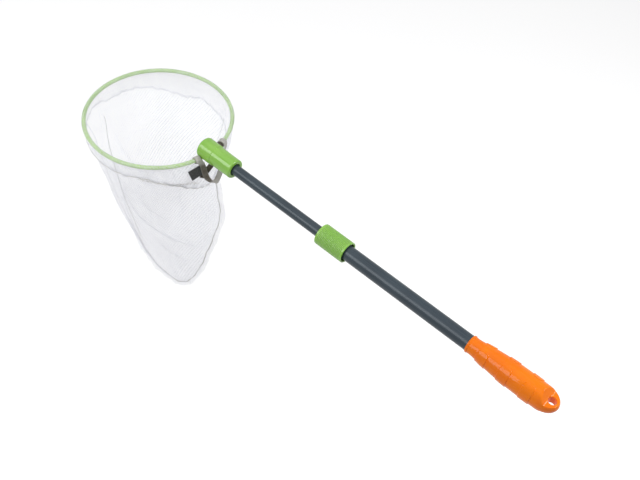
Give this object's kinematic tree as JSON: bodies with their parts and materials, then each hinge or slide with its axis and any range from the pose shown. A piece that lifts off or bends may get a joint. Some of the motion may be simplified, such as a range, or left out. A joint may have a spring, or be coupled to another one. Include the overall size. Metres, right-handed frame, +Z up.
{
  "type": "telescopic hand net",
  "caption": "Round hand net with a deep fine-mesh bag on a two-part telescopic tube, with a twist lock and a moulded grip with a hang hole.",
  "frame": {"origin": "centre of the hang hole through the grip's tail, on the pole's axis", "axes": "+X along the pole from the hoop towards the grip's tail, +Z up through the hang hole, bag hanging towards -Z"},
  "size_m": [0.84, 0.232, 0.4094],
  "materials": {
    "green_plastic": "satin",
    "green_coating": "satin",
    "bare_steel": "satin",
    "grey_tube": "anodised satin",
    "dark_plastic": "matte",
    "orange_grip": "satin",
    "white_hem": "woven",
    "white_mesh": "fine mesh",
    "grey_tape": "ribbed weave",
    "dark_tape": "ribbed weave",
    "label_cloth": "woven"
  },
  "bodies": {
    "handle": {"lower_tube": "grey_tube", "lock_collet": "dark_plastic", "handle_grip": "orange_grip"},
    "collar": {"lock_collar": "green_plastic"},
    "bush": {"slide_bush": "dark_plastic"},
    "net": {"hoop_rod": "green_coating", "hoop_ferrule": "bare_steel", "hem_sleeve": "white_hem", "near_mesh_panel": "white_mesh", "far_mesh_panel": "white_mesh", "seam_binding": "white_hem", "left_tape_loop": "grey_tape", "right_tape_loop": "grey_tape", "hanging_tape": "grey_tape", "cross_tape": "dark_tape", "woven_label": "label_cloth", "head_cap": "green_plastic", "head_socket": "green_plastic", "upper_tube": "grey_tube"}
  },
  "joints": [
    {"name": "collar_twist", "type": "hinge", "parent": "handle", "child": "collar", "pos_m": [-0.35, 0, 0], "axis": [-1, 0, 0], "range_deg": [0, 90]},
    {"name": "tube_slide", "type": "slide", "parent": "handle", "child": "bush", "axis": [1, 0, 0], "range_m": [0, 0.17]},
    {"name": "tube_turn", "type": "hinge", "parent": "bush", "child": "net", "pos_m": [-0.32, 0, 0], "axis": [1, 0, 0], "continuous": true}
  ]
}
